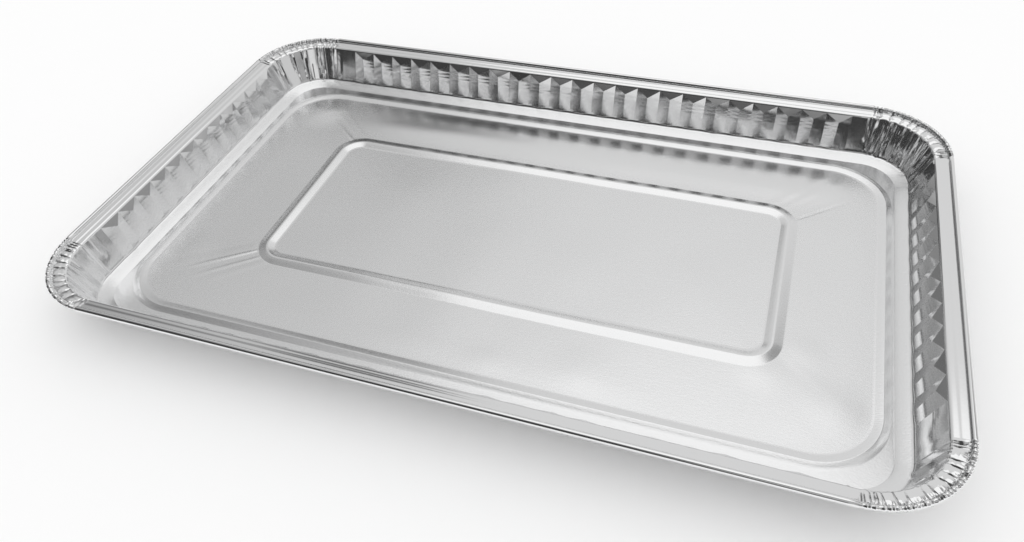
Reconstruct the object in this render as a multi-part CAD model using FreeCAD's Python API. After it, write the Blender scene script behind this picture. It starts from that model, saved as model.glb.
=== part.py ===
import FreeCAD
import Part
import math
import os

# A disposable foil sheet-cake pan, pressed from one blank of aluminium foil.
# The long sides run along X and the short sides along Y. The origin is the centre of the ground
# that the pan stands on, so its flat foot ring lies at a height of 0 and its rim faces up.
#
# Going inwards from the edge, the foil is a rolled curl, a shelf that dips inwards, a rounded lip,
# a leaning wall with V-shaped flutes, a sloping band, a flat foot ring, a low rib around the
# field, and a raised bead around the centre panel. The same line is followed twice, once on the
# upper face of the foil and once on the lower, and the two skins close into one solid.

DIMENSIONS = (
    ("pan_length", 450.0, "overall, over the rolled edge, along X"),
    ("pan_width", 280.0, "overall, over the rolled edge, along Y"),
    ("pan_height", 27.0, "ground to the top of the rolled edge"),
    ("foil_gauge", 0.3, "thickness of the sheet"),
    ("corner_radius", 44.0, "outline of the rim, in plan"),
    ("curl_radius", 1.5, "outer radius of the rolled edge, in section"),
    ("curl_end_angle", 285.0, "where the roll stops, counted from its inner flank over the top"),
    ("shelf_drop", 1.8, "top of the roll down to the outer end of the shelf"),
    ("lip_drop", 3.0, "top of the roll down to where shelf and wall would meet"),
    ("lip_inset", 9.6, "outline to where shelf and wall would meet"),
    ("lip_radius", 1.5, "bend between shelf and wall, on the upper face"),
    ("wall_foot_inset", 17.0, "outline to the crease under the wall"),
    ("wall_foot_height", 2.6, "ground to the crease, on the upper face"),
    ("ring_inset", 24.5, "outline to the outer edge of the flat foot ring"),
    ("flute_pitch", 14.6, "from one flute to the next"),
    ("flute_margin", 8.0, "least plain wall left beside each corner"),
    ("flute_depth", 2.2, "how far a ridge stands in from the wall"),
    ("flute_start", 4.5, "lip down to the top of a ridge, along the wall"),
    ("flute_toe", 0.6, "how far a ridge runs onto the band at its foot"),
    ("rib_margin_x", 29.2, "outline to the crest of the rib, at the short sides"),
    ("rib_margin_y", 32.6, "outline to the crest of the rib, at the long sides"),
    ("rib_corner_radius", 31.8, "crest of the rib, in plan"),
    ("rib_outer_run", 3.4, "width of the rib's outer slope"),
    ("rib_inner_run", 3.8, "width of the rib's inner slope"),
    ("rib_rise", 1.3, "foot ring up to the rib's crest"),
    ("field_rise", 0.4, "foot ring up to the field"),
    ("bead_length", 291.0, "raised bead, outer edge, along X"),
    ("bead_width", 125.0, "raised bead, outer edge, along Y"),
    ("bead_corner_radius", 18.0, "raised bead, outer edge, in plan"),
    ("bead_outer_run", 4.6, "width of the bead's outer slope"),
    ("bead_crown", 0.8, "width of the bead's flat top"),
    ("bead_inner_run", 3.8, "width of the bead's inner slope"),
    ("bead_rise", 1.3, "field up to the bead's top"),
    ("bead_shift", 4.5, "the bead lies this far off centre, towards +X"),
)

UP = FreeCAD.Vector(0, 0, 1)


# ---------------------------------------------------------------- the document and its sizes

def write_sheet(doc):
    """Put every driving dimension in a spreadsheet, with its note beside it."""
    sheet = doc.addObject("Spreadsheet::Sheet", "Dimensions")
    for row, (alias, value, note) in enumerate(DIMENSIONS, start=1):
        sheet.set(f"A{row}", alias)
        sheet.set(f"B{row}", str(value))
        sheet.set(f"C{row}", note)
        sheet.setAlias(f"B{row}", alias)
    doc.recompute()
    return sheet


# ---------------------------------------------------------------- the section of the foil

def unit(start, end):
    """Direction from one section point to another."""
    run = end[0] - start[0]
    rise = end[1] - start[1]
    size = math.hypot(run, rise)
    return run / size, rise / size


def along(point, direction, distance):
    """Section point a distance along a direction."""
    return point[0] + direction[0] * distance, point[1] + direction[1] * distance


def lowered(before, point, after, gauge):
    """The corner below a section corner, at one gauge from both of its legs."""
    first = unit(before, point)
    second = unit(point, after)
    # Walking from the rim inwards, the lower face lies to the right of each leg.
    normal_a = (first[1], -first[0])
    normal_b = (second[1], -second[0])
    share = gauge / (1 + normal_a[0] * normal_b[0] + normal_a[1] * normal_b[1])
    return point[0] + (normal_a[0] + normal_b[0]) * share, point[1] + (normal_a[1] + normal_b[1]) * share


class Skin:
    """The section of one face of the foil, as (inset from the outline, height) points."""

    def __init__(self, sheet, lower):
        gauge = sheet.foil_gauge
        radius = sheet.curl_radius
        centre = (radius, sheet.pan_height - radius)
        floor = gauge
        field = floor + sheet.field_rise
        # The upper face first.
        drop = sheet.shelf_drop - radius
        groove = (centre[0] + math.sqrt(radius ** 2 - drop ** 2), sheet.pan_height - sheet.shelf_drop)
        lip = (sheet.lip_inset, sheet.pan_height - sheet.lip_drop)
        foot = (sheet.wall_foot_inset, sheet.wall_foot_height)
        ring = (sheet.ring_inset, floor)
        rib = [(-sheet.rib_outer_run, floor), (0.0, floor + sheet.rib_rise), (sheet.rib_inner_run, field)]
        crown_end = sheet.bead_outer_run + sheet.bead_crown
        bead = [(0.0, field)]
        bead.append((sheet.bead_outer_run, field + sheet.bead_rise))
        bead.append((crown_end, field + sheet.bead_rise))
        bead.append((crown_end + sheet.bead_inner_run, field))
        bend = sheet.lip_radius
        if lower:
            shelf_direction = unit(groove, lip)
            normal = (shelf_direction[1] * gauge, -shelf_direction[0] * gauge)
            flat = (ring[0] + 1, floor)
            low_lip = lowered(groove, lip, foot, gauge)
            low_foot = lowered(lip, foot, ring, gauge)
            low_ring = lowered(foot, ring, flat, gauge)
            radius = radius - gauge
            groove = self.meet_circle(low_lip, shelf_direction, centre, radius)
            lip, foot, ring = low_lip, low_foot, low_ring
            rib = self.lower_run(rib, gauge)
            bead = self.lower_run(bead, gauge)
            bend = bend - gauge
        self.radius = radius
        self.centre = centre
        self.groove = groove
        self.foot = foot
        self.ring = ring
        self.rib = rib
        self.bead = bead
        self.floor = ring[1]
        self.set_bend(lip, bend)

    @staticmethod
    def lower_run(points, gauge):
        """The lower face under a raised run of floor that is level at both ends."""
        before = (points[0][0] - 1, points[0][1])
        after = (points[-1][0] + 1, points[-1][1])
        line = [before] + points + [after]
        return [lowered(line[i - 1], line[i], line[i + 1], gauge) for i in range(1, len(line) - 1)]

    @staticmethod
    def meet_circle(point, direction, centre, radius):
        """Where the line through point meets the inner flank of the roll."""
        gap = (point[0] - centre[0], point[1] - centre[1])
        half = gap[0] * direction[0] + gap[1] * direction[1]
        rest = gap[0] ** 2 + gap[1] ** 2 - radius ** 2
        return along(point, direction, -half + math.sqrt(half ** 2 - rest))

    def set_bend(self, lip, bend):
        """The bend from shelf to wall: where it starts, its middle and where it ends."""
        shelf = unit(self.groove, lip)
        wall = unit(lip, self.foot)
        turn = math.acos(shelf[0] * wall[0] + shelf[1] * wall[1])
        tangent = bend * math.tan(turn / 2)
        self.lip_start = along(lip, shelf, -tangent)
        self.lip_end = along(lip, wall, tangent)
        middle = ((self.lip_start[0] + self.lip_end[0]) / 2, (self.lip_start[1] + self.lip_end[1]) / 2)
        inner = unit(lip, middle)
        self.lip_middle = along(lip, inner, bend / math.cos(turn / 2) - bend)
        self.wall = wall
        self.inward = (-wall[1], wall[0])

    def roll_point(self, degrees):
        """Point on the roll: 0 is its inner flank, 90 its top and 180 its outer flank."""
        angle = math.radians(degrees)
        return self.centre[0] + self.radius * math.cos(angle), self.centre[1] + self.radius * math.sin(angle)

    def roll_arcs(self, end_angle):
        """The roll as arcs of three points each, from the groove to its hidden end."""
        start = math.degrees(math.atan2(self.groove[1] - self.centre[1], self.groove[0] - self.centre[0]))
        stops = [start, 90.0, 180.0, end_angle]
        arcs = []
        for first, last in zip(stops, stops[1:]):
            arcs.append([self.roll_point(a) for a in (first, (first + last) / 2, last)])
        return arcs


# ---------------------------------------------------------------- rounded rectangles in plan

class Side:
    """One straight side of a rounded rectangle."""

    def __init__(self, start, run, outward):
        self.start = start
        self.run = run
        self.outward = outward
        self.direction = FreeCAD.Vector(run).normalize()

    def at(self, point, distance=0.0):
        """A section point, set a distance along the side."""
        inset, height = point
        return self.start - self.outward * inset + UP * height + self.direction * distance


class Outline:
    """A rounded rectangle that sections are swept around."""

    def __init__(self, half_x, half_y, radius, shift_x=0.0):
        self.sides = []
        self.centres = []
        flat_x = half_x - radius
        flat_y = half_y - radius
        # Counter-clockwise from the +X side, each side followed by the corner at its end.
        outwards = ((1, 0), (0, 1), (-1, 0), (0, -1))
        corners = ((1, 1), (-1, 1), (-1, -1), (1, -1))
        for index, (out_x, out_y) in enumerate(outwards):
            outward = FreeCAD.Vector(out_x, out_y, 0)
            before = corners[index - 1]
            after = corners[index]
            first = FreeCAD.Vector(before[0] * flat_x + shift_x, before[1] * flat_y, 0)
            centre = FreeCAD.Vector(after[0] * flat_x + shift_x, after[1] * flat_y, 0)
            self.sides.append(Side(first + outward * radius, centre - first, outward))
            self.centres.append(centre)

    def sweep(self, edge_at):
        """Faces that carry a section edge right around; edge_at draws that edge on a side."""
        faces = []
        for side, centre in zip(self.sides, self.centres):
            faces.append(edge_at(side).extrude(side.run))
            faces.append(self.turn(edge_at, side, centre))
        return faces

    @staticmethod
    def turn(edge_at, side, centre):
        """The face of one corner."""
        edge = edge_at(side)
        edge.translate(side.run)
        return edge.revolve(centre, UP, 90)

    def loop(self, point):
        """The closed wire that one section point follows."""
        edges = []
        for side, centre in zip(self.sides, self.centres):
            end = side.at(point) + side.run
            edges.append(Part.LineSegment(side.at(point), end).toShape())
            inset_radius = (end - centre - UP * point[1]).Length
            middle = centre + (side.outward + side.direction).normalize() * inset_radius + UP * point[1]
            last = centre + side.direction * inset_radius + UP * point[1]
            edges.append(Part.Arc(end, middle, last).toShape())
        return Part.Wire(edges)


def line_on(first, last):
    """A straight section edge, as a function of the side it is drawn on."""
    return lambda side: Part.LineSegment(side.at(first), side.at(last)).toShape()


def arc_on(points):
    """An arc through three section points, as a function of the side it is drawn on."""
    return lambda side: Part.Arc(*[side.at(point) for point in points]).toShape()


def polygon(points):
    """A flat face through its corners."""
    return Part.Face(Part.makePolygon(points + points[:1]))


def level_face(outer, inner=None):
    """A level stretch of floor, between two loops or inside one."""
    wires = [outer] if inner is None else [outer, inner]
    return Part.makeFace(wires, "Part::FaceMakerBullseye")


# ---------------------------------------------------------------- the faces of one skin

def flute_stations(run, sheet):
    """Distances along a side at which its flutes meet: as many whole flutes as fit."""
    count = int((run - 2 * sheet.flute_margin) / sheet.flute_pitch)
    first = (run - count * sheet.flute_pitch) / 2
    return [first + i * sheet.flute_pitch for i in range(count + 1)]


def flute_faces(side, skin, sheet, near, far):
    """One flute: a roof under the lip and two flanks, each folded once as the flute fades out."""
    middle = (near + far) / 2
    valley_top = side.at(skin.lip_end, near)
    next_top = side.at(skin.lip_end, far)
    valley_foot = side.at(skin.foot, near)
    next_foot = side.at(skin.foot, far)
    on_wall = along(skin.lip_end, skin.wall, sheet.flute_start)
    ridge_top = side.at(along(on_wall, skin.inward, sheet.flute_depth), middle)
    ridge_foot = side.at(toe_point(skin, sheet), middle)
    return [
        polygon([valley_top, next_top, ridge_top]),
        polygon([valley_top, ridge_top, valley_foot]),
        polygon([ridge_top, ridge_foot, valley_foot]),
        polygon([next_top, next_foot, ridge_top]),
        polygon([ridge_top, next_foot, ridge_foot]),
    ]


def toe_point(skin, sheet):
    """Where a ridge ends on the band."""
    return along(skin.foot, unit(skin.foot, skin.ring), sheet.flute_toe)


def side_faces(side, skin, sheet):
    """Lip, wall and band of one straight side."""
    run = side.run.Length
    stations = flute_stations(run, sheet)
    stops = [0.0] + stations + [run]
    faces = []
    lip = arc_on([skin.lip_start, skin.lip_middle, skin.lip_end])
    for near, far in zip(stops, stops[1:]):
        edge = lip(side)
        edge.translate(side.direction * near)
        faces.append(edge.extrude(side.direction * (far - near)))
    for near, far in ((0.0, stations[0]), (stations[-1], run)):
        corners = [(skin.lip_end, near), (skin.lip_end, far), (skin.foot, far), (skin.foot, near)]
        faces.append(polygon([side.at(point, distance) for point, distance in corners]))
    for near, far in zip(stations, stations[1:]):
        faces += flute_faces(side, skin, sheet, near, far)
    faces.append(band_face(side, skin, sheet, stations))
    return faces


def band_face(side, skin, sheet, stations):
    """The band under the wall, its outer edge notched by the feet of the ridges."""
    run = side.run.Length
    toe = toe_point(skin, sheet)
    edge = [side.at(skin.foot, 0.0), side.at(skin.foot, stations[0])]
    for near, far in zip(stations, stations[1:]):
        edge.append(side.at(toe, (near + far) / 2))
        edge.append(side.at(skin.foot, far))
    edge.append(side.at(skin.foot, run))
    return polygon(edge + [side.at(skin.ring, run), side.at(skin.ring, 0.0)])


def skin_faces(sheet, lower):
    """Every face of the upper or the lower skin."""
    skin = Skin(sheet, lower)
    half_x = sheet.pan_length / 2
    half_y = sheet.pan_width / 2
    rim = Outline(half_x, half_y, sheet.corner_radius)
    rib = Outline(half_x - sheet.rib_margin_x, half_y - sheet.rib_margin_y, sheet.rib_corner_radius)
    bead = Outline(sheet.bead_length / 2, sheet.bead_width / 2, sheet.bead_corner_radius, sheet.bead_shift)
    faces = []
    for arc in skin.roll_arcs(sheet.curl_end_angle):
        faces += rim.sweep(arc_on(arc))
    faces += rim.sweep(line_on(skin.groove, skin.lip_start))
    corner_edges = [arc_on([skin.lip_start, skin.lip_middle, skin.lip_end])]
    corner_edges.append(line_on(skin.lip_end, skin.foot))
    corner_edges.append(line_on(skin.foot, skin.ring))
    for side, centre in zip(rim.sides, rim.centres):
        faces += side_faces(side, skin, sheet)
        faces += [rim.turn(edge, side, centre) for edge in corner_edges]
    faces.append(level_face(rim.loop(skin.ring), rib.loop(skin.rib[0])))
    for first, last in zip(skin.rib, skin.rib[1:]):
        faces += rib.sweep(line_on(first, last))
    faces.append(level_face(rib.loop(skin.rib[-1]), bead.loop(skin.bead[0])))
    for first, last in zip(skin.bead, skin.bead[1:]):
        faces += bead.sweep(line_on(first, last))
    faces.append(level_face(bead.loop(skin.bead[-1])))
    return faces


def raw_edge(sheet):
    """The cut edge of the foil, hidden inside the roll, which joins the two skins."""
    rim = Outline(sheet.pan_length / 2, sheet.pan_width / 2, sheet.corner_radius)
    upper = Skin(sheet, lower=False).roll_point(sheet.curl_end_angle)
    lower = Skin(sheet, lower=True).roll_point(sheet.curl_end_angle)
    return rim.sweep(line_on(upper, lower))


# ---------------------------------------------------------------- the sub-part and its file

def make_foil_pan(doc, sheet):
    """The pan as one closed solid of foil."""
    faces = skin_faces(sheet, lower=False) + skin_faces(sheet, lower=True) + raw_edge(sheet)
    shell = Part.makeShell(faces)
    shell.sewShape()
    solid = Part.makeSolid(shell)
    if solid.Volume < 0:
        solid.reverse()
    pan = doc.addObject("Part::Feature", "FoilPan")
    pan.Label = "foil_pan"
    pan.Shape = solid
    pan.Placement = FreeCAD.Placement(FreeCAD.Vector(0, 0, 0), FreeCAD.Rotation())
    return pan


def check(doc, parts):
    """Stop before anything is written if an object failed or a shape is broken."""
    for item in doc.Objects:
        if "Invalid" in item.State or "Error" in item.State:
            raise RuntimeError(f"{item.Label} did not compute: {item.State}")
    for item in parts:
        if item.Shape.isNull() or not item.Shape.isValid():
            raise RuntimeError(f"{item.Label} has no valid shape")
        if len(item.Shape.Solids) != 1 or not item.Shape.Shells[0].isClosed():
            raise RuntimeError(f"{item.Label} is not one closed solid")


def main():
    doc = FreeCAD.newDocument("foil_cake_pan")
    sheet = write_sheet(doc)
    parts = [make_foil_pan(doc, sheet)]
    doc.recompute()
    check(doc, parts)
    os.makedirs("parts", exist_ok=True)
    for item in parts:
        item.Shape.exportStep(f"parts/{item.Label}.step")
        box = item.Shape.optimalBoundingBox()
        size = f"{box.XLength:.2f} x {box.YLength:.2f} x {box.ZLength:.2f} mm"
        print(item.Label, size, f"{item.Shape.Volume / 1000:.1f} cm3", f"{len(item.Shape.Faces)} faces")


main()
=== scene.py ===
import math

import bmesh
import bpy
import numpy as np
from mathutils import Matrix, Vector


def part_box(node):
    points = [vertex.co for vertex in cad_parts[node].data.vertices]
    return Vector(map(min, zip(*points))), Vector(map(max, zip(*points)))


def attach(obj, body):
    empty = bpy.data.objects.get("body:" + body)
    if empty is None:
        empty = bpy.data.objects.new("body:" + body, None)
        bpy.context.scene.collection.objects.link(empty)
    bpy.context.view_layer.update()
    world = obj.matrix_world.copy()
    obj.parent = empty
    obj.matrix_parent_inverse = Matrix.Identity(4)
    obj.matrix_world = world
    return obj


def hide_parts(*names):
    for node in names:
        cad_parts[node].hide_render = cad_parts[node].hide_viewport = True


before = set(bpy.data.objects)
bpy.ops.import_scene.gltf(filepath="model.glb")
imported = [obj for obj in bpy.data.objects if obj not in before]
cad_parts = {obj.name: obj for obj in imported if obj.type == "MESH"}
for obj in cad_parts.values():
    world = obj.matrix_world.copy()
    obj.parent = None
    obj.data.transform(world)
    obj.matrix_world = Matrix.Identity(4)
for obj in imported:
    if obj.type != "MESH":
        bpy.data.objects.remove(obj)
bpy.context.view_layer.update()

# A disposable foil sheet-cake pan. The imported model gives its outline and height; the foil itself
# is built here as one thin closed mesh, with its flutes, gathered corners, crimped rim and the
# creases of its floor. Sizes below are in millimetres and become metres when the mesh is made.

pan_low, pan_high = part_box("foil_pan")
MM = 0.001
LENGTH = (pan_high[0] - pan_low[0]) / MM
WIDTH = (pan_high[1] - pan_low[1]) / MM
HEIGHT = (pan_high[2] - pan_low[2]) / MM
CENTRE_X = (pan_high[0] + pan_low[0]) / 2 / MM
CENTRE_Y = (pan_high[1] + pan_low[1]) / 2 / MM
GROUND = pan_low[2] / MM

# The sides go anticlockwise from +X. A corner has the number of the side that it follows.
SIDES = CORNERS = 4
RIGHT, BACK, LEFT, NEAR = range(SIDES)
BACK_RIGHT, BACK_LEFT, NEAR_LEFT, NEAR_RIGHT = range(CORNERS)

FOIL = 0.12            # thickness of the sheet
EDGE_GAP = 0.08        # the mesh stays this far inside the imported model's box at the sides
TOP_GAP = 0.01         # and this far at the top
CORNER_RADIUS = 44.0   # rim outline, in plan
CURL_RADIUS = 1.5
CURL_END = 285.0       # degrees from the roll's inner flank, over its top and outside, to its end
SHELF_DROP = 1.8
SHELF_START = 3.0      # about where the shelf meets the roll, in from the outline
LIP_DROP = 3.0
LIP_INSET = 9.6
LIP_RADIUS = 1.5
FOOT_INSET = 17.0
FOOT_HEIGHT = 2.6
FOOT_RADIUS = 1.9
RING_INSET = 24.5
RING_HEIGHT = 0.14
FLUTE_PITCH = 14.6
FLUTE_MARGIN = 8.0
FLUTE_SHIFTS = (-4.3, -3.2, -5.5, 0.0)   # of each side's flutes off its middle, anticlockwise
FLUTE_DEPTH = 2.2
FLATTENED_FLUTES = ((RIGHT, 0, 0.2),)    # side, number, share of the depth left
FLUTE_START = 4.5
FLUTE_TOE = 0.55
RIB_MARGIN_X = 29.2
RIB_MARGIN_Y = 32.6
RIB_CORNER = 31.8
RIB_OUTER_RUN = 3.4
RIB_INNER_RUN = 3.8
RIB_RISE = 1.3
FIELD_RISE = 0.4
BEAD_LENGTH = 291.0
BEAD_WIDTH = 125.0
BEAD_CORNER = 18.0
BEAD_OUTER_RUN = 4.6
BEAD_CROWN = 0.8
BEAD_INNER_RUN = 3.8
BEAD_RISE = 1.3
BEAD_SHIFT = 4.5
TIGHTEST_CORNER = 1.5  # no loop of the floor turns tighter

HALF_STEPS = 2         # columns from a flute's valley to its ridge
PLAIN_STEP = 1.0       # between columns on the plain ends of a side
PLAIN_BLOCK = 4        # of so many plain columns, one is kept on every row
CORNER_COLUMNS = 112   # columns around one corner
FAR_OFF = 1e3          # stands for the distance from a corner where none is near
SEED = 20

# Grades of columns: a row keeps the columns that reach the grade it asks for.
FINEST, FINE, COARSE, COARSEST = 1, 2, 3, 4


# ---------- small helpers

def smooth(x):
    """0 to 1 with level ends."""
    x = np.clip(x, 0.0, 1.0)
    return x * x * (3 - 2 * x)


def tent(x):
    """1 at 0, falling straight to 0 at -1 and 1."""
    return np.maximum(0.0, 1.0 - np.abs(x))


def value_noise(rng, x, y, cells_x, cells_y):
    """Smooth random field, -1 to 1, on coordinates that run from 0 to 1."""
    grid = rng.uniform(-1, 1, (cells_y + 2, cells_x + 2))
    fx = np.clip(x, 0, 1) * cells_x
    fy = np.clip(y, 0, 1) * cells_y
    ix = np.minimum(fx.astype(int), cells_x)
    iy = np.minimum(fy.astype(int), cells_y)
    tx = smooth(fx - ix)
    ty = smooth(fy - iy)
    top = grid[iy, ix] * (1 - tx) + grid[iy, ix + 1] * tx
    low = grid[iy + 1, ix] * (1 - tx) + grid[iy + 1, ix + 1] * tx
    return top * (1 - ty) + low * ty


# ---------- columns around the pan

LIP_ARC = (CORNER_RADIUS - LIP_INSET) * math.pi / 2
RIM_ARC = CORNER_RADIUS * math.pi / 2


class Columns:
    """Where each column of the mesh stands: on which side or corner, and how far along it."""

    FIELDS = (
        "part",       # the side, or SIDES more than the corner's number
        "fraction",   # 0 to 1 along that side or corner
        "grade",
        "flute",      # number of its flute on the side, -1 off the flutes
        "phase",      # 0 at a flute's valleys, 1 at its ridge, signed by the flank
        "corner",     # the nearest corner, for corners and the plain ends beside them
        "gather",     # millimetres from that corner's middle, along the lip
    )

    def __init__(self):
        self.made = []
        for side in range(SIDES):
            run = (WIDTH if side in (RIGHT, LEFT) else LENGTH) - 2 * CORNER_RADIUS
            self.add_side(side, run)
            self.add_corner(side)
        for name, values in zip(self.FIELDS, zip(*self.made)):
            setattr(self, name, np.array(values))
        self.count = len(self.made)

    def add(self, part, fraction, grade, flute=-1, phase=0.0, corner=-1, gather=FAR_OFF):
        self.made.append((part, fraction, grade, flute, phase, corner, gather))

    def add_side(self, side, run):
        count = int((run - 2 * FLUTE_MARGIN) / FLUTE_PITCH)
        spare = (run - count * FLUTE_PITCH) / 2
        before, after = spare + FLUTE_SHIFTS[side], spare - FLUTE_SHIFTS[side]
        plain = self.plain_count(before)
        for i in range(plain):
            distance = before * i / plain
            self.add(side, distance / run, COARSE if i % PLAIN_BLOCK == 0 else FINE,
                     corner=(side - 1) % SIDES, gather=LIP_ARC / 2 + distance)
        steps = 2 * HALF_STEPS
        for flute in range(count):
            for i in range(steps):
                distance = before + (flute + i / steps) * FLUTE_PITCH
                phase = i / HALF_STEPS if i <= HALF_STEPS else (i - steps) / HALF_STEPS
                grade = COARSE if i % HALF_STEPS == 0 else FINE
                self.add(side, distance / run, grade, flute, phase)
        plain = self.plain_count(after)
        for i in range(plain):
            distance = after * (1 - i / plain)
            self.add(side, 1 - distance / run, COARSE if i % PLAIN_BLOCK == 0 else FINE,
                     corner=side, gather=-LIP_ARC / 2 - distance)

    @staticmethod
    def plain_count(length):
        return PLAIN_BLOCK * max(1, round(length / PLAIN_STEP / PLAIN_BLOCK))

    def add_corner(self, corner):
        for i in range(CORNER_COLUMNS):
            grade = COARSEST if i % 4 == 0 else (COARSE if i % 2 == 0 else FINEST)
            fraction = i / CORNER_COLUMNS
            self.add(SIDES + corner, fraction, grade, corner=corner,
                     gather=(fraction - 0.5) * LIP_ARC)


columns = Columns()
on_corner = columns.part >= SIDES
side_index = columns.part % SIDES   # a corner's columns have the side before it
outward_x = np.zeros(columns.count)
outward_y = np.zeros(columns.count)
for k in range(columns.count):
    turn = side_index[k] * math.pi / 2
    if on_corner[k]:
        turn += columns.fraction[k] * math.pi / 2
    outward_x[k] = math.cos(turn)
    outward_y[k] = math.sin(turn)


def loop_points(half_x, half_y, radius, shift_x=0.0, slide=0.0):
    """Plan position of every column on a rounded rectangle; slide moves it along the loop."""
    flat_x = half_x - radius
    flat_y = half_y - radius
    centre_x = np.array([1, -1, -1, 1])[side_index] * flat_x
    centre_y = np.array([1, 1, -1, -1])[side_index] * flat_y
    along_x = np.array([0, -1, 0, 1])[side_index]
    along_y = np.array([1, 0, -1, 0])[side_index]
    run = np.where(side_index % 2 == 0, 2 * flat_y, 2 * flat_x)
    back = np.where(on_corner, 0.0, run * (columns.fraction - 1.0))
    x = centre_x + along_x * back + outward_x * radius - outward_y * slide
    y = centre_y + along_y * back + outward_y * radius + outward_x * slide
    return x + shift_x, y


# ---------- rows across the section

def unit(a, b):
    """The direction from one point of the section to another."""
    size = math.hypot(b[0] - a[0], b[1] - a[1])
    return (b[0] - a[0]) / size, (b[1] - a[1]) / size


def along(point, way, distance):
    return point[0] + way[0] * distance, point[1] + way[1] * distance


# Points of the section are given as how far in from the outline, and how high.
roll_centre = (CURL_RADIUS, HEIGHT - CURL_RADIUS)
groove_drop = SHELF_DROP - CURL_RADIUS
groove = (roll_centre[0] + math.sqrt(CURL_RADIUS ** 2 - groove_drop ** 2), HEIGHT - SHELF_DROP)
lip = (LIP_INSET, HEIGHT - LIP_DROP)
foot = (FOOT_INSET, FOOT_HEIGHT)
ring = (RING_INSET, RING_HEIGHT)
shelf_way = unit(groove, lip)
wall_way = unit(lip, foot)
band_way = unit(foot, ring)
lip_turn = math.acos(shelf_way[0] * wall_way[0] + shelf_way[1] * wall_way[1])
lip_reach = LIP_RADIUS * math.tan(lip_turn / 2)
lip_start = along(lip, shelf_way, -lip_reach)
lip_end = along(lip, wall_way, lip_reach)
foot_turn = math.acos(wall_way[0] * band_way[0] + wall_way[1] * band_way[1])
foot_reach = FOOT_RADIUS * math.tan(foot_turn / 2)
wall_end = along(foot, wall_way, -foot_reach)
band_start = along(foot, band_way, foot_reach)
wall_run = math.hypot(wall_end[0] - lip_end[0], wall_end[1] - lip_end[1])
roof_share = FLUTE_START / wall_run   # of the wall, where the flutes' gabled tops end


class Row:
    """One line of the mesh around the pan: its place, height, facing and zone."""

    def __init__(self, zone, inset, height, facing, share=0.0, loop=None):
        self.zone = zone
        self.inset = inset     # from the outline, for a row that has no loop of its own
        self.height = height
        self.facing = facing   # unit normal in section, (inwards, up)
        self.share = share     # how far through its zone, 0 to 1
        self.loop = loop


# Shares run inwards from row to row, and each profile gives a share and how far the row is lifted.
CURL_STOPS = (CURL_END, 255, 225, 195, 170, 148, 128, 110, 92, 74, 54, 32, 10)   # degrees
SHELF_PROFILE = ((0.0, -0.05), (0.12, 0.0), (0.35, 0.0), (0.55, 0.05), (0.62, -0.1), (0.8, 0.0))
LIP_SHARES = (0.0, 0.33, 0.66)
FOOT_SHARES = (0.25, 0.5, 0.75)
BAND_PROFILE = ((0.0, 0.0), (0.12, 0.04), (0.35, 0.12), (0.65, 0.1), (0.93, 0.05), (1.0, -0.02))
RING_SHARES = (0.06, 0.94)
RIB_OUTER_SHARES = (0.05, 0.5, 0.93, 1.0)
RIB_INNER_SHARES = (0.07, 0.5, 0.93, 1.0)
RIB_OUTER_TOP, RIB_INNER_TOP = 0.975, 0.02   # where its slopes are cut off at the crest
FIELD_SHARES = (0.03, 0.12, 0.24, 0.36, 0.48, 0.6, 0.72, 0.84, 0.93, 0.98)
BEAD_RUN = BEAD_OUTER_RUN + BEAD_CROWN + BEAD_INNER_RUN
BEAD_INSETS = (0.0, 0.35, 2.3, 4.3, 4.65, 5.35, 5.7, 7.3, 8.85, BEAD_RUN)
BEAD_TOP = 0.98                              # and where the bead's are
PANEL_SHARES = (0.03, 0.2, 0.4, 0.6, 0.8, 0.97)

RIPPLE_START = roof_share + 0.02
RIPPLE_STEP = 0.0265   # between rows there, a quarter of a ripple
RIPPLE_ROWS = 12
LOW_WALL_ROWS = 7      # below the ripples


def curl_rows():
    rows = []
    for angle in CURL_STOPS:
        a = math.radians(angle)
        facing = (math.cos(a), math.sin(a))
        point = along(roll_centre, facing, CURL_RADIUS - FOIL / 2)
        rows.append(Row("curl", point[0], point[1], facing, angle / 360))
    return rows


def slope_rows(zone, start, end, way, profile):
    """Rows down a straight part of the section."""
    rows = []
    normal = (-way[1], way[0])
    reach = math.hypot(end[0] - start[0], end[1] - start[1])
    for share, lift in profile:
        point = (start[0] + way[0] * reach * share, start[1] + way[1] * reach * share)
        rows.append(Row(zone, point[0], point[1] + lift, normal, share))
    return rows


def bend_rows(zone, start, way, radius, turn, bulge, shares):
    """Rows around a bend; bulge is 1 over the lip and -1 in the hollow at the foot."""
    rows = []
    first = math.atan2(way[0], -way[1])
    centre = (start[0] + bulge * way[1] * radius, start[1] - bulge * way[0] * radius)
    for share in shares:
        angle = first - bulge * share * turn
        normal = (math.cos(angle), math.sin(angle))
        point = along(centre, normal, bulge * radius)
        rows.append(Row(zone, point[0], point[1], normal, share))
    return rows


def wall_profile():
    """Down the flutes' gabled tops, through their ripples, and on to the foot."""
    shares = [roof_share * i / HALF_STEPS for i in range(HALF_STEPS + 1)]
    shares += [RIPPLE_START + RIPPLE_STEP * i for i in range(RIPPLE_ROWS)]
    last = shares[-1]
    shares += [last + (1.0 - last) * i / LOW_WALL_ROWS for i in range(1, LOW_WALL_ROWS + 1)]
    return [(share, 0.0) for share in shares]


# A loop of the floor is its two half sizes, its corner radius and its shift along X.
RING_LOOP = (LENGTH / 2 - RING_INSET, WIDTH / 2 - RING_INSET, CORNER_RADIUS - RING_INSET, 0.0)


def rib_loop(inset):
    return (LENGTH / 2 - RIB_MARGIN_X - inset, WIDTH / 2 - RIB_MARGIN_Y - inset,
            RIB_CORNER - inset, 0.0)


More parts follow.
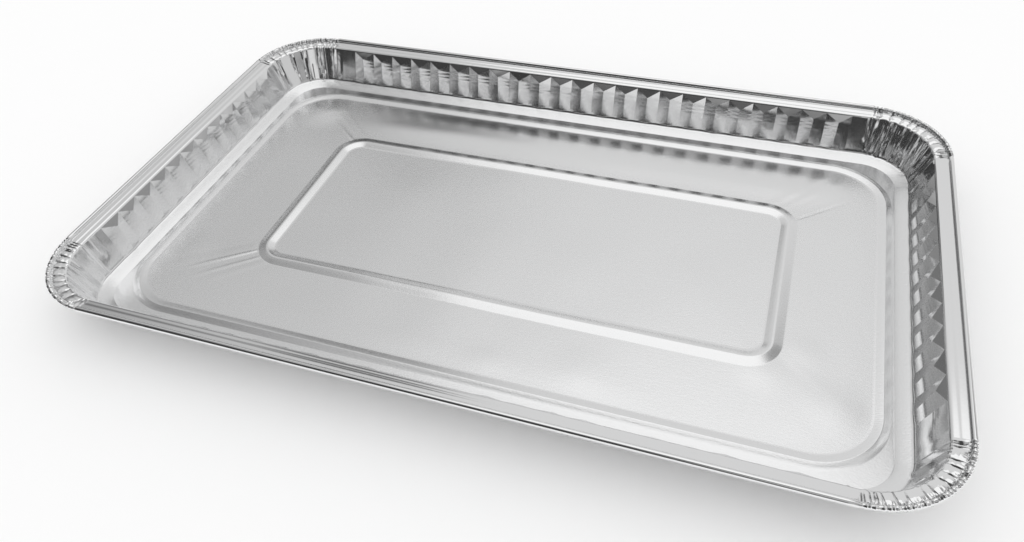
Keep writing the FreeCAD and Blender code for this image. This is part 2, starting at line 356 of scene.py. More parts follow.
def bead_loop(inset):
    return (BEAD_LENGTH / 2 - inset, BEAD_WIDTH / 2 - inset,
            max(BEAD_CORNER - inset, TIGHTEST_CORNER), BEAD_SHIFT)


def loop_between(outer, inner, share):
    return tuple(a * (1 - share) + b * share for a, b in zip(outer, inner))


def floor_rows():
    crest = RING_HEIGHT + RIB_RISE
    field = RING_HEIGHT + FIELD_RISE
    made = []   # zone, height, share, loop
    for share in RING_SHARES:
        loop = loop_between(RING_LOOP, rib_loop(-RIB_OUTER_RUN), share)
        made.append(("ring", RING_HEIGHT, share, loop))
    for share in RIB_OUTER_SHARES:
        height = RING_HEIGHT + RIB_RISE * min(share, RIB_OUTER_TOP)
        made.append(("step", height, share, rib_loop(-RIB_OUTER_RUN * (1 - share))))
    for share in RIB_INNER_SHARES:
        height = crest + (field - crest) * max(share, RIB_INNER_TOP)
        made.append(("step", height, share, rib_loop(RIB_INNER_RUN * share)))
    for share in FIELD_SHARES:
        loop = loop_between(rib_loop(RIB_INNER_RUN), bead_loop(0.0), share)
        made.append(("field", field, share, loop))
    for inset in BEAD_INSETS:
        rise = min(inset / BEAD_OUTER_RUN, BEAD_TOP, (BEAD_RUN - inset) / BEAD_INNER_RUN)
        made.append(("bead", field + BEAD_RISE * rise, inset / BEAD_RUN, bead_loop(inset)))
    panel_reach = BEAD_WIDTH / 2 - BEAD_RUN
    for share in PANEL_SHARES:
        made.append(("panel", field, share, bead_loop(BEAD_RUN + panel_reach * share)))
    return [Row(zone, 0, height, (0.0, 1.0), share, loop) for zone, height, share, loop in made]


rows = (curl_rows()
        + slope_rows("shelf", groove, lip_start, shelf_way, SHELF_PROFILE)
        + bend_rows("lip", lip_start, shelf_way, LIP_RADIUS, lip_turn, 1, LIP_SHARES)
        + slope_rows("wall", lip_end, wall_end, wall_way, wall_profile())
        + bend_rows("foot", wall_end, wall_way, FOOT_RADIUS, foot_turn, -1, FOOT_SHARES)
        + slope_rows("band", band_start, ring, band_way, BAND_PROFILE)
        + floor_rows())

# ---------- folds and creases

# A pair of numbers is the range that a random value comes from. Whole numbers count columns or
# folds. Starts and lengths of folds are shares of the wall's run, so that 0 is at the lip.
FLUTE_DEPTHS = (0.86, 1.14)     # shares of FLUTE_DEPTH
NEAR_DEPTH = 0.8                # of that, on the near side
FLUTE_RISE = 0.7                # how far up or down the wall a flute's top may lie
FLUTE_SWAY = 0.35               # and how far to the side
RIPPLE_DEPTHS = (0.005, 0.016)

GATHER_MARGIN = 7.0             # the folds reach this far along the sides
FIRST_PLEAT = (0, 4)
PLAIN_COLUMNS = ((2, 8), (8, 20), (7, 16), (8, 20))   # between bundles, for each corner
BUNDLE_FOLDS = (2, 6)
PLEAT_REACH = (1, 4)            # to each side of its crest
PLEAT_STARTS = (-0.4, 0.1)
PLEAT_LENGTHS = (0.9, 1.7)
PLEAT_DEPTHS = (0.12, 0.24)     # for each column of its width
INWARD_SHARE = 0.75             # of the pleats; the rest go outwards, less far
OUTWARD_DEPTH = -0.7
PLEAT_GAPS = (3, 6)
PLEAT_FULLNESS = 0.7            # below 1, a fold keeps its depth over more of its length
NICKS = 6                       # short single folds in each corner
NICK_STARTS = (-0.2, 0.6)
NICK_LENGTHS = (0.4, 0.9)
NICK_DEPTHS = (0.1, 0.25)

FIRST_CRIMP = (1, 4)
CRIMP_DEPTHS = (0.45, 0.9)
CRIMP_ENDS = (9.5, 12.5)        # in from the outline
CRIMP_ROLLS = (0.6, 1.0)        # share of it that crosses the roll
ROLL_DEPTH = 0.75               # of a crimp on the roll, against the shelf
CROWDED_COLUMNS = 14            # at each end of a corner, where the crimps stand close
CROWDED_GAPS, OPEN_GAPS = (2, 5), (6, 14)
PUFF_RISE = 0.045               # for each column of its width
PUFF_RISES = (0.5, 1.2)         # shares of that
SHORT_CRIMP_DEPTHS = (0.25, 0.7)
SHORT_CRIMP_RUNS = (0.1, 2.2)   # in from SHELF_START
SHORT_CRIMP_GAPS = (2, 4)
CRIMP_FADE = 1.2                # from each end of a corner

RIM_SWAY, RIM_WAVES = 0.9, 5    # most lean at the lip, and waves of it around a corner
WALL_SWAY, WALL_WAVES = 1.6, 3
SWAY_FADE = 16.0                # from each end of a corner
SWAY_EASE = 1.5                 # above 1, the lean grows late between the roll and the lip

CRUMPLE = 0.13
CRUMPLE_CELLS = (12, 3)         # along the rim and down the wall
CRUMPLE_START = 0.4             # how far above the wall it starts, as a share of the wall

SHARP_STARS = (   # corner, place around it, half width, rise, and share of the field where it ends
    (BACK_RIGHT, 0.27, 0.045, -0.35, 0.35), (NEAR_LEFT, 0.36, 0.05, 0.35, 0.35),
    (NEAR_LEFT, 0.58, 0.06, 0.2, 0.4), (BACK_LEFT, 0.45, 0.05, 0.15, 0.7),
)
BROAD_STARS = 3                 # at each corner, besides the sharp ones
BROAD_PLACES, BROAD_WIDTHS = (0.1, 0.9), (0.09, 0.2)
BROAD_RISES, BROAD_ENDS = (-0.07, 0.1), (0.0, 0.4)
ROUNDED_FROM = 0.08             # half width above which a crease has a rounded top
STAR_FADE = 0.3

SEEDS = 2 ** 31
rng = np.random.default_rng(SEED)


def flute_tables():
    """Small differences between one pressed flute and the next."""
    size = (SIDES, columns.flute.max() + 1)
    depth = rng.uniform(*FLUTE_DEPTHS, size)
    for side, number, left in FLATTENED_FLUTES:
        depth[side, number] *= left
    depth[NEAR] *= NEAR_DEPTH
    rise = rng.uniform(-FLUTE_RISE, FLUTE_RISE, size)
    rise[NEAR] = 0.0
    return {
        "depth": depth,
        "rise": rise,
        "sway": rng.uniform(-FLUTE_SWAY, FLUTE_SWAY, size),
        "ripple": rng.uniform(*RIPPLE_DEPTHS, size),
    }


def corner_strip(corner):
    """The columns of one gathered corner, with the plain ends beside it, in order."""
    here = np.flatnonzero(columns.corner == corner)
    return here[np.argsort(columns.gather[here])]


def fold_shape(strip, place, before, after):
    """Columns that a fold moves and by what share: 1 on its crest, falling to 0 on each side."""
    steps = np.arange(max(place - before + 1, 0), min(place + after, len(strip)))
    share = np.minimum((steps - place + before) / before, (place + after - steps) / after)
    return strip[steps], share


def pleat_tables():
    """The folds of each gathered corner: bundles of long slivers, each along a column."""
    pleats = []
    for corner in range(CORNERS):
        strip = corner_strip(corner)
        spare = int(np.sum(columns.gather[strip] < -LIP_ARC / 2 - GATHER_MARGIN))
        place = spare + int(rng.integers(*FIRST_PLEAT))
        while place < len(strip) - spare:
            for i in range(rng.integers(*BUNDLE_FOLDS)):
                before, after = rng.integers(*PLEAT_REACH, 2)
                start = rng.uniform(*PLEAT_STARTS)
                depth = (before + after) * rng.uniform(*PLEAT_DEPTHS)
                pleats.append({
                    "fold": fold_shape(strip, place, before, after),
                    "depth": depth * (1 if rng.random() < INWARD_SHARE else OUTWARD_DEPTH),
                    "start": start,
                    "end": start + rng.uniform(*PLEAT_LENGTHS),
                })
                place += int(rng.integers(*PLEAT_GAPS))
            place += int(rng.integers(*PLAIN_COLUMNS[corner]))
        for i in range(NICKS):
            start = rng.uniform(*NICK_STARTS)
            place = int(rng.integers(spare, len(strip) - spare))
            pleats.append({
                "fold": fold_shape(strip, place, 1, 1),
                "depth": rng.uniform(*NICK_DEPTHS),
                "start": start,
                "end": start + rng.uniform(*NICK_LENGTHS),
            })
    return pleats


def crimp_tables():
    """The creases that gather the rim around each corner, and the puffed places between them."""
    crimps = []
    puffs = []
    for corner in range(CORNERS):
        strip = np.flatnonzero(columns.part == SIDES + corner)
        place = int(rng.integers(*FIRST_CRIMP))
        while place < CORNER_COLUMNS - 1:
            crimps.append({
                "fold": fold_shape(strip, place, 1, 1),
                "depth": rng.uniform(*CRIMP_DEPTHS),
                "inner": rng.uniform(*CRIMP_ENDS),
                "roll": rng.uniform(*CRIMP_ROLLS),
            })
            crowded = min(place, CORNER_COLUMNS - place) < CROWDED_COLUMNS
            gap = int(rng.integers(*(CROWDED_GAPS if crowded else OPEN_GAPS)))
            middle = gap // 2
            puffs.append({
                "fold": fold_shape(strip, place + middle, middle, gap - middle),
                "rise": PUFF_RISE * gap * rng.uniform(*PUFF_RISES),
            })
            place += gap
        place = 1
        while place < CORNER_COLUMNS - 1:
            crimps.append({
                "fold": fold_shape(strip, place, 1, 1),
                "depth": rng.uniform(*SHORT_CRIMP_DEPTHS),
                "inner": SHELF_START + rng.uniform(*SHORT_CRIMP_RUNS),
                "roll": 1.0,
            })
            place += int(rng.integers(*SHORT_CRIMP_GAPS))
    return crimps, puffs


def sway_tables():
    """How far each column leans sideways by the lip and by the foot; nothing at a corner's ends."""
    rim = np.zeros(columns.count)
    wall = np.zeros(columns.count)
    level = np.zeros(columns.count)
    for corner in range(CORNERS):
        here = columns.part == SIDES + corner
        lean = RIM_SWAY * value_noise(rng, columns.fraction, level, RIM_WAVES, 1)
        rim += np.where(here, lean, 0.0)
        lean = WALL_SWAY * value_noise(rng, columns.fraction, level, WALL_WAVES, 1)
        wall += np.where(here, lean, 0.0)
    edge = smooth((0.5 - np.abs(columns.fraction - 0.5)) * RIM_ARC / SWAY_FADE)
    return rim * edge, wall * edge


def star_tables():
    """Creases in the floor, from the bead's corners: a few sharp ones and some broad ones."""
    stars = list(SHARP_STARS)
    for corner in range(CORNERS):
        for i in range(BROAD_STARS):
            stars.append((corner, rng.uniform(*BROAD_PLACES), rng.uniform(*BROAD_WIDTHS),
                          rng.uniform(*BROAD_RISES), rng.uniform(*BROAD_ENDS)))
    return stars


flutes = flute_tables()
pleats = pleat_tables()
crimps, puffs = crimp_tables()
rim_sway, wall_sway = sway_tables()
stars = star_tables()
crumple_seeds = rng.integers(0, SEEDS, CORNERS * 2)[:CORNERS]   # floor_seed follows the spare draws
floor_seed = int(rng.integers(0, SEEDS))


def flute_push(share):
    """How far each column of a wall row stands in from the plain wall."""
    ridge = np.abs(columns.phase)
    on_flute = columns.flute >= 0
    depth = FLUTE_DEPTH * flutes["depth"][side_index, np.maximum(columns.flute, 0)]
    lower = max(0.0, (share - roof_share) / (1 - roof_share))
    fade = 1 - (1 - FLUTE_TOE / FLUTE_DEPTH) * lower
    push = depth * np.minimum(share / roof_share, fade * ridge)
    return np.where(on_flute, push, 0.0)


def ripple(share):
    """Faint die marks across the upper part of each flute."""
    turn = (share - RIPPLE_START) / RIPPLE_STEP
    if not 0 < turn < RIPPLE_ROWS:
        return np.zeros(columns.count)
    strength = flutes["ripple"][side_index, np.maximum(columns.flute, 0)]
    return np.where(columns.flute >= 0, strength * math.sin(turn * math.pi / 2), 0.0)


def pleat_push(share):
    """Inward push of the gathered folds on a corner wall; each fades at both ends."""
    push = np.zeros(columns.count)
    for fold in pleats:
        through = (share - fold["start"]) / (fold["end"] - fold["start"])
        if 0 < through < 1:
            moved, shape = fold["fold"]
            push[moved] += fold["depth"] * math.sin(through * math.pi) ** PLEAT_FULLNESS * shape
    return push


def corner_sway(level):
    """Sideways lean at a level: 0 at the roll, 1 at the lip, 2 at the foot, 3 on the floor."""
    lean = rim_sway * min(level, 1.0) ** SWAY_EASE + wall_sway * min(max(level - 1.0, 0.0), 1.0)
    return lean * min(1.0, 3.0 - level)


def crumple_push(share):
    """Slight unevenness of the corner walls."""
    push = np.zeros(columns.count)
    for corner in range(CORNERS):
        here = columns.corner == corner
        level = np.full(columns.count, (share + CRUMPLE_START) / (1 + CRUMPLE_START))
        place = columns.gather / (LIP_ARC + 2 * FLUTE_PITCH) + 0.5
        noise_rng = np.random.default_rng(crumple_seeds[corner])
        coarse = value_noise(noise_rng, place, level, *CRUMPLE_CELLS)
        push += np.where(here, CRUMPLE * coarse, 0.0)
    return push


def crimp_push(inset, on_roll):
    """Dents of the gathered rim, along the foil's normal, less the puffed places of its shelf."""
    push = np.zeros(columns.count)
    beyond = max(0.0, inset - SHELF_START)
    for crease in crimps:
        moved, shape = crease["fold"]
        reach = max(0.0, 1 - beyond / (crease["inner"] - SHELF_START))
        push[moved] += crease["depth"] * (ROLL_DEPTH * crease["roll"] if on_roll else reach) * shape
    if not on_roll:
        arch = math.sin(min(beyond / (LIP_INSET - SHELF_START), 1.0) * math.pi)
        for puff in puffs:
            moved, shape = puff["fold"]
            push[moved] -= puff["rise"] * arch * (1 - (1 - shape) ** 2)
    place = (columns.fraction - 0.5) * RIM_ARC
    return push * smooth((RIM_ARC / 2 - np.abs(place)) / CRIMP_FADE)


def star_push(share):
    """Height of the stress creases on a field row; share runs from the step to the bead."""
    push = np.zeros(columns.count)
    for corner, place, half, rise, end in stars:
        shape = tent((columns.fraction - place) / half)
        if half > ROUNDED_FROM:
            shape = smooth(shape)
        strength = smooth((share - end) / STAR_FADE)
        push += np.where(columns.part == SIDES + corner, rise * shape * strength, 0.0)
    return push


FLOOR_BUMPS = (   # middle, radius and height of the places where the sheet was drawn up a little
    (-172.0, 87.0, 22.0, 1.6), (140.0, -62.0, 15.0, 0.4), (160.0, -46.0, 13.0, 0.3),
    (166.0, 84.0, 15.0, 0.45), (-176.0, -62.0, 16.0, 0.4), (60.0, -88.0, 20.0, 0.35),
    (15.0, -97.0, 16.0, 0.25), (176.0, -76.0, 18.0, 0.4),
)
FLOOR_LIFT = 0.25
SLOW_WAVES, SLOW_CELLS = 0.35, (5, 3)
QUICK_WAVES, QUICK_CELLS = 0.18, (15, 9)

# The low swell between the bead and the back wall: where it lies across the pan and along it.
SWELL_RISE = 1.3
SWELL_FRONT, SWELL_CREST, SWELL_FOOT = 62.0, 82.0, 108.0
SWELL_LEFT, SWELL_RIGHT = -160.0, 185.0
SWELL_LEFT_FADE, SWELL_RIGHT_FADE = 90.0, 40.0


def swell(x, y):
    """Share of the swell, smooth on the bead's side and falling straight towards the wall."""
    across = smooth((y - SWELL_FRONT) / (SWELL_CREST - SWELL_FRONT))
    across = across * np.clip((SWELL_FOOT - y) / (SWELL_FOOT - SWELL_CREST), 0.0, 1.0)
    left = smooth((x - SWELL_LEFT) / SWELL_LEFT_FADE)
    return across * left * smooth((SWELL_RIGHT - x) / SWELL_RIGHT_FADE)


def floor_warp(x, y):
    """Slow waves of the thin floor, with its bumps and the swell."""
    across = x / LENGTH + 0.5
    down = y / WIDTH + 0.5
    slow = value_noise(np.random.default_rng(floor_seed), across, down, *SLOW_CELLS)
    quick = value_noise(np.random.default_rng(floor_seed + 1), across, down, *QUICK_CELLS)
    warp = FLOOR_LIFT + SLOW_WAVES * slow + QUICK_WAVES * quick + SWELL_RISE * swell(x, y)
    for centre_x, centre_y, radius, rise in FLOOR_BUMPS:
        warp = warp + rise * smooth(1 - np.hypot(x - centre_x, y - centre_y) / radius)
    return warp


# ---------- the middle of the sheet

# How far the folds and the unevenness of the corner walls reach into the zones beside them.
SHELF_CRUMPLE, SHELF_LEVEL = 0.25, -0.3
LIP_FOLDS, LIP_GAIN = 0.3, 0.5   # at the lip's outer edge, and how much more at its inner edge
FOOT_LOSS = 0.5
BAND_CRUMPLE, BAND_FADE = 0.5, 1.5
FIELD_FADE = 4                   # the floor's waves are full after one part in so many of the field


def row_points(row):
    """Middle-surface positions of one row, in millimetres, one per column."""
    push = np.zeros(columns.count)
    slide = np.zeros(columns.count)
    drop = np.zeros(columns.count)
    if row.zone == "curl":
        push = -crimp_push(row.inset, True)
    if row.zone == "shelf":
        slide = corner_sway(row.share)
        push = -crimp_push(row.inset, False) + SHELF_CRUMPLE * crumple_push(SHELF_LEVEL)
    if row.zone == "lip":
        slide = corner_sway(1.0)
        folds = pleat_push(0.0) + crumple_push(0.0)
        push = -crimp_push(row.inset, False) + (LIP_FOLDS + LIP_GAIN * row.share) * folds
    if row.zone == "wall":
        ridge = np.abs(columns.phase)
        push = flute_push(row.share) + ripple(row.share)
        push = push + pleat_push(row.share) + crumple_push(row.share)
        number = np.maximum(columns.flute, 0)
        bump = math.sin(min(row.share / roof_share, 1.0) * math.pi / 2) * (1 - row.share) * ridge
        drop = flutes["rise"][side_index, number] * bump
        slide = flutes["sway"][side_index, number] * bump + corner_sway(1.0 + row.share)
    if row.zone == "foot":
        slide = corner_sway(2.0)
        push = (flute_push(1.0) + pleat_push(1.0)) * (1 - row.share)
        push = push + crumple_push(1.0) * (1 - FOOT_LOSS * row.share)
    if row.zone == "band":
        slide = corner_sway(2.0 + row.share)
        fade = max(0.0, 1 - row.share * BAND_FADE)
        push = BAND_CRUMPLE * crumple_push(1.0) * fade
    inset = row.inset
    height = np.full(columns.count, float(row.height))
    if row.loop is None:
        offset = inset + row.facing[0] * push + wall_way[0] * drop
        height = height + row.facing[1] * push + wall_way[1] * drop
        x, y = loop_points(LENGTH / 2 - inset, WIDTH / 2 - inset, CORNER_RADIUS - inset, 0.0, slide)
        x = x - outward_x * (offset - inset)
        y = y - outward_y * (offset - inset)
    else:
        x, y = loop_points(*row.loop)
    if row.zone == "field":
        height = height + star_push(row.share)
    if row.zone in ("field", "bead", "panel"):
        strength = smooth(row.share * FIELD_FADE) if row.zone == "field" else 1.0
        height = height + floor_warp(x, y) * strength
    if row.zone != "curl":
        height = height - FOIL / 2
    return np.stack([x, y, height], axis=1)


grid = np.array([row_points(row) for row in rows])


def grid_normals(points):
    """Unit normals of the grid, on the side that faces up and into the pan."""
    around = np.roll(points, -1, axis=1) - np.roll(points, 1, axis=1)
    across = np.gradient(points, axis=0)
    normal = np.cross(across, around)
    size = np.linalg.norm(normal, axis=2, keepdims=True)
    return normal / np.maximum(size, 1e-9)


normals = grid_normals(grid)
if normals[-1, :, 2].mean() < 0:
    normals = -normals


# ---------- mesh of both faces of the foil

# The grade that each zone's rows ask for, on the sides and in the corners.
ZONE_DETAIL = {
    "curl": (COARSE, FINEST), "shelf": (COARSE, FINEST), "lip": (COARSE, FINEST),
    "wall": (FINE, FINEST), "foot": (FINE, FINEST), "band": (FINE, FINEST),
    "ring": (COARSE, COARSEST), "step": (COARSE, COARSEST), "field": (COARSE, COARSE),
    "bead": (COARSE, COARSEST), "panel": (COARSE, COARSEST),
}
HIDDEN_ROLL = 0.56   # share of a full turn, from which the roll is under the rim


def active_columns(index):
    """Which columns a row keeps: side and corner columns have grades of their own."""
    row = rows[index]
    side_grade, corner_grade = ZONE_DETAIL[row.zone]
    if row.zone == "band" and row.share > 0.5:
        side_grade, corner_grade = COARSE, COARSE
    if row.zone == "curl" and row.share > HIDDEN_ROLL:
        corner_grade = COARSE
    least = np.where(on_corner, corner_grade, side_grade)
    return np.flatnonzero(columns.grade >= least)


kept = [active_columns(i) for i in range(len(rows))]
WALL_START = next(i for i, row in enumerate(rows) if row.zone == "wall")


def cell_split(index, left):
    """For a roof cell, which way its crease runs: +1, -1 or 0 for no split."""
    step = index - WALL_START
    if not 0 <= step < HALF_STEPS or columns.flute[left] < 0:
        return 0
    phase = columns.phase[left]
    cell = round(phase * HALF_STEPS) if phase >= 0 else round(phase * HALF_STEPS) + 2 * HALF_STEPS
    if cell == step:
        return 1
    if 2 * HALF_STEPS - 1 - cell == step:
        return -1
    return 0


class SheetMesh:
    """Collects the vertices and faces of both skins."""

    def __init__(self):
        self.points = []
        self.faces = []
        self.zones = []

    def add_skin(self, offset, flip):
        """One face of the foil; returns the vertex numbers of every row."""
        numbers = []
        for index in range(len(rows)):
            start = len(self.points)
            place = grid[index, kept[index]] + normals[index, kept[index]] * offset
            self.points.extend(place.tolist())
            lookup = np.full(columns.count, -1)
            lookup[kept[index]] = np.arange(start, start + len(kept[index]))
            numbers.append(lookup)
        for index in range(len(rows) - 1):
            self.add_strip(numbers, index, flip)
        self.close_panel(numbers[-1], flip)
        return numbers

    def add_face(self, corners, flip, zone):
        corners = [int(c) for c in corners]
        self.faces.append(corners[::-1] if flip else corners)
        self.zones.append(zone)

    def add_strip(self, numbers, index, flip):
        """Faces between two rows; a face takes in the columns that only one of them keeps."""
        above, below = numbers[index], numbers[index + 1]
        shared = np.flatnonzero((above >= 0) & (below >= 0))
        zone = rows[index + 1].zone
        for i, left in enumerate(shared):
            right = shared[(i + 1) % len(shared)]
            if right > left:
                span = np.arange(left, right + 1)
            else:
                span = np.append(np.arange(left, columns.count), right)
            upper = [above[c] for c in span if above[c] >= 0]
            lower = [below[c] for c in span if below[c] >= 0]
            split = cell_split(index, left)
            if split > 0:
                self.add_face([upper[0], lower[1], lower[0]], flip, zone)
                self.add_face([upper[0], upper[1], lower[1]], flip, zone)
            elif split < 0:
                self.add_face([upper[0], upper[1], lower[0]], flip, zone)
                self.add_face([upper[1], lower[1], lower[0]], flip, zone)
            else:
                self.add_face(upper + lower[::-1], flip, zone)

    def close_panel(self, last, flip):
        """Fills the slot that the last loop leaves: strips across it and a face at each end."""
        def kept_on(part):
            return [last[c] for c in np.flatnonzero((columns.part == part) & (last >= 0))]

        near = kept_on(NEAR) + kept_on(SIDES + NEAR_RIGHT)[:1]
        far = (kept_on(BACK) + kept_on(SIDES + BACK_LEFT)[:1])[::-1]
        for i in range(len(near) - 1):
            self.add_face([near[i], near[i + 1], far[i + 1], far[i]], flip, "panel")
        for before, side, after, end in ((NEAR_RIGHT, RIGHT, BACK_RIGHT, far[-1]),
                                         (BACK_LEFT, LEFT, NEAR_LEFT, near[0])):
            chain = kept_on(SIDES + before) + kept_on(side) + kept_on(SIDES + after)
            self.add_face(chain + [end], flip, "panel")

    def add_rim_edge(self, upper, lower):
        """The cut edge of the foil, inside the roll."""
        shared = np.flatnonzero(upper >= 0)
        for i, left in enumerate(shared):
            right = shared[(i + 1) % len(shared)]
            self.add_face([upper[right], upper[left], lower[left], lower[right]], False, "edge")


sheet = SheetMesh()
upper_rows = sheet.add_skin(FOIL / 2, False)
lower_rows = sheet.add_skin(-FOIL / 2, True)
sheet.add_rim_edge(upper_rows[0], lower_rows[0])

mesh = bpy.data.meshes.new("foil_sheet")
points = np.array(sheet.points)
low = np.array([-LENGTH / 2 + EDGE_GAP, -WIDTH / 2 + EDGE_GAP, 0.0])
high = np.array([LENGTH / 2 - EDGE_GAP, WIDTH / 2 - EDGE_GAP, HEIGHT - TOP_GAP])
points = np.clip(points, low, high) + np.array([CENTRE_X, CENTRE_Y, GROUND])
mesh.from_pydata((points * MM).tolist(), [], sheet.faces)
mesh.polygons.foreach_set("use_smooth", np.ones(len(mesh.polygons), bool))

# Degrees of turn from which an edge is sharp. The walls' flutes and pleats are folded hard.
SHARP_BY_ZONE = {"wall": 6.5, "foot": 28.0, "lip": 24.0, "shelf": 26.0, "curl": 40.0, "band": 24.0}
SHARP_ELSEWHERE = 30.0
work = bmesh.new()
work.from_mesh(mesh)
work.faces.ensure_lookup_table()
bmesh.ops.recalc_face_normals(work, faces=work.faces)
for edge in work.edges:
    if len(edge.link_faces) != 2:
        continue
    zones = [sheet.zones[face.index] for face in edge.link_faces]
    limit = min(SHARP_BY_ZONE.get(zone, SHARP_ELSEWHERE) for zone in zones)
    edge.smooth = edge.calc_face_angle() < math.radians(limit)
work.to_mesh(mesh)
work.free()

# Share of the rolled grain that each zone has kept.
SATIN = {"panel": 1.0, "bead": 0.6, "field": 1.0, "step": 0.8, "ring": 0.9, "band": 0.9,
         "foot": 0.3, "wall": 0.0, "lip": 0.0, "shelf": 0.1, "curl": 0.0, "edge": 0.0}
SWELL_POLISH = 0.45   # share that the stretched swell has lost, from half of its height up
satin = mesh.attributes.new("satin", "FLOAT", "POINT")
levels = np.zeros(len(mesh.vertices))
for numbers in (upper_rows, lower_rows):
    for row, places, lookup in zip(rows, grid, numbers):
        here = lookup >= 0
        polish = SWELL_POLISH * smooth(2 * swell(places[here, 0], places[here, 1]))
        levels[lookup[here]] = SATIN[row.zone] * (1 - polish)
satin.data.foreach_set("value", levels)

pan = bpy.data.objects.new("foil_sheet", mesh)
bpy.context.scene.collection.objects.link(pan)
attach(pan, "root")
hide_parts("foil_pan")


# ---------- materials

METAL = (0.91, 0.912, 0.915, 1.0)
PAPER = (0.93, 0.93, 0.93, 1.0)
WHITE = (1.0, 1.0, 1.0, 1.0)
BLACK = (0.0, 0.0, 0.0, 1.0)
BRIGHT_ROUGHNESS, SATIN_ROUGHNESS = 0.11, 0.27
ROUGHNESS_SPREAD = 0.1                 # between the streaks of the grain
GRAIN_SCALE = (350.0, 1500.0, 900.0)   # to the metre: the streaks run along the pan
GRAIN_DETAIL, GRAIN_BREAKUP = 4.0, 0.6
SPECKLE_SCALE, SPECKLE_DETAIL = 1100.0, 2.0
SPECKLE_SHARE = 0.6                    # of its height, against the grain's
BUMP_STRENGTH, BUMP_HEIGHT = 0.6, 0.00007   # metres


def new_material(name):
    material = bpy.data.materials.new(name)
    material.use_nodes = True
    nodes = material.node_tree.nodes
    nodes.clear()
    output = nodes.new("ShaderNodeOutputMaterial")
    return material, nodes, material.node_tree.links, output


def math_node(nodes, links, operation, *values):
    """The result of a Math node; each value is a number or the output that it comes from."""
    node = nodes.new("ShaderNodeMath")
    node.operation = operation
    for socket, value in zip(node.inputs, values):
        if isinstance(value, bpy.types.NodeSocket):
            links.new(value, socket)
        else:
            socket.default_value = value
    return node.outputs["Value"]


def add_node(nodes, kind, settings):
    node = nodes.new(kind)
    for name, value in settings.items():
        node.inputs[name].default_value = value
    return node


def foil_material():
    """Bare rolled aluminium: bright where it was folded, satin and grained on the floor."""
    material, nodes, links, output = new_material("rolled_foil")
    shader = add_node(nodes, "ShaderNodeBsdfPrincipled", {"Metallic": 1.0, "Base Color": METAL})
    links.new(shader.outputs["BSDF"], output.inputs["Surface"])
    place = nodes.new("ShaderNodeTexCoord")
    zone = nodes.new("ShaderNodeAttribute")
    zone.attribute_name = "satin"

    rolling = add_node(nodes, "ShaderNodeMapping", {"Scale": GRAIN_SCALE})
    links.new(place.outputs["Object"], rolling.inputs["Vector"])
    grain = add_node(nodes, "ShaderNodeTexNoise",
                     {"Scale": 1.0, "Detail": GRAIN_DETAIL, "Roughness": GRAIN_BREAKUP})
    links.new(rolling.outputs["Vector"], grain.inputs["Vector"])
    speckle = add_node(nodes, "ShaderNodeTexNoise",
                       {"Scale": SPECKLE_SCALE, "Detail": SPECKLE_DETAIL})
    links.new(place.outputs["Object"], speckle.inputs["Vector"])

    rough = add_node(nodes, "ShaderNodeMapRange",
                     {"To Min": BRIGHT_ROUGHNESS, "To Max": SATIN_ROUGHNESS})
    links.new(zone.outputs["Fac"], rough.inputs["Value"])
    scatter = math_node(nodes, links, "MULTIPLY_ADD", grain.outputs["Fac"],
                        ROUGHNESS_SPREAD, -ROUGHNESS_SPREAD / 2)
    total = math_node(nodes, links, "ADD", rough.outputs["Result"], scatter)
    links.new(total, shader.inputs["Roughness"])

    both = math_node(nodes, links, "MULTIPLY_ADD", speckle.outputs["Fac"],
                     SPECKLE_SHARE, grain.outputs["Fac"])
    height = math_node(nodes, links, "MULTIPLY", both, zone.outputs["Fac"])
    bump = add_node(nodes, "ShaderNodeBump", {"Strength": BUMP_STRENGTH, "Distance": BUMP_HEIGHT})
    links.new(height, bump.inputs["Height"])
    links.new(bump.outputs["Normal"], shader.inputs["Normal"])
    return material


def floor_material():
    """Pale paper, which takes the pan's shadow."""
    material, nodes, links, output = new_material("pale_floor")
    shader = add_node(nodes, "ShaderNodeBsdfDiffuse", {"Color": PAPER})
    links.new(shader.outputs["BSDF"], output.inputs["Surface"])
    return material


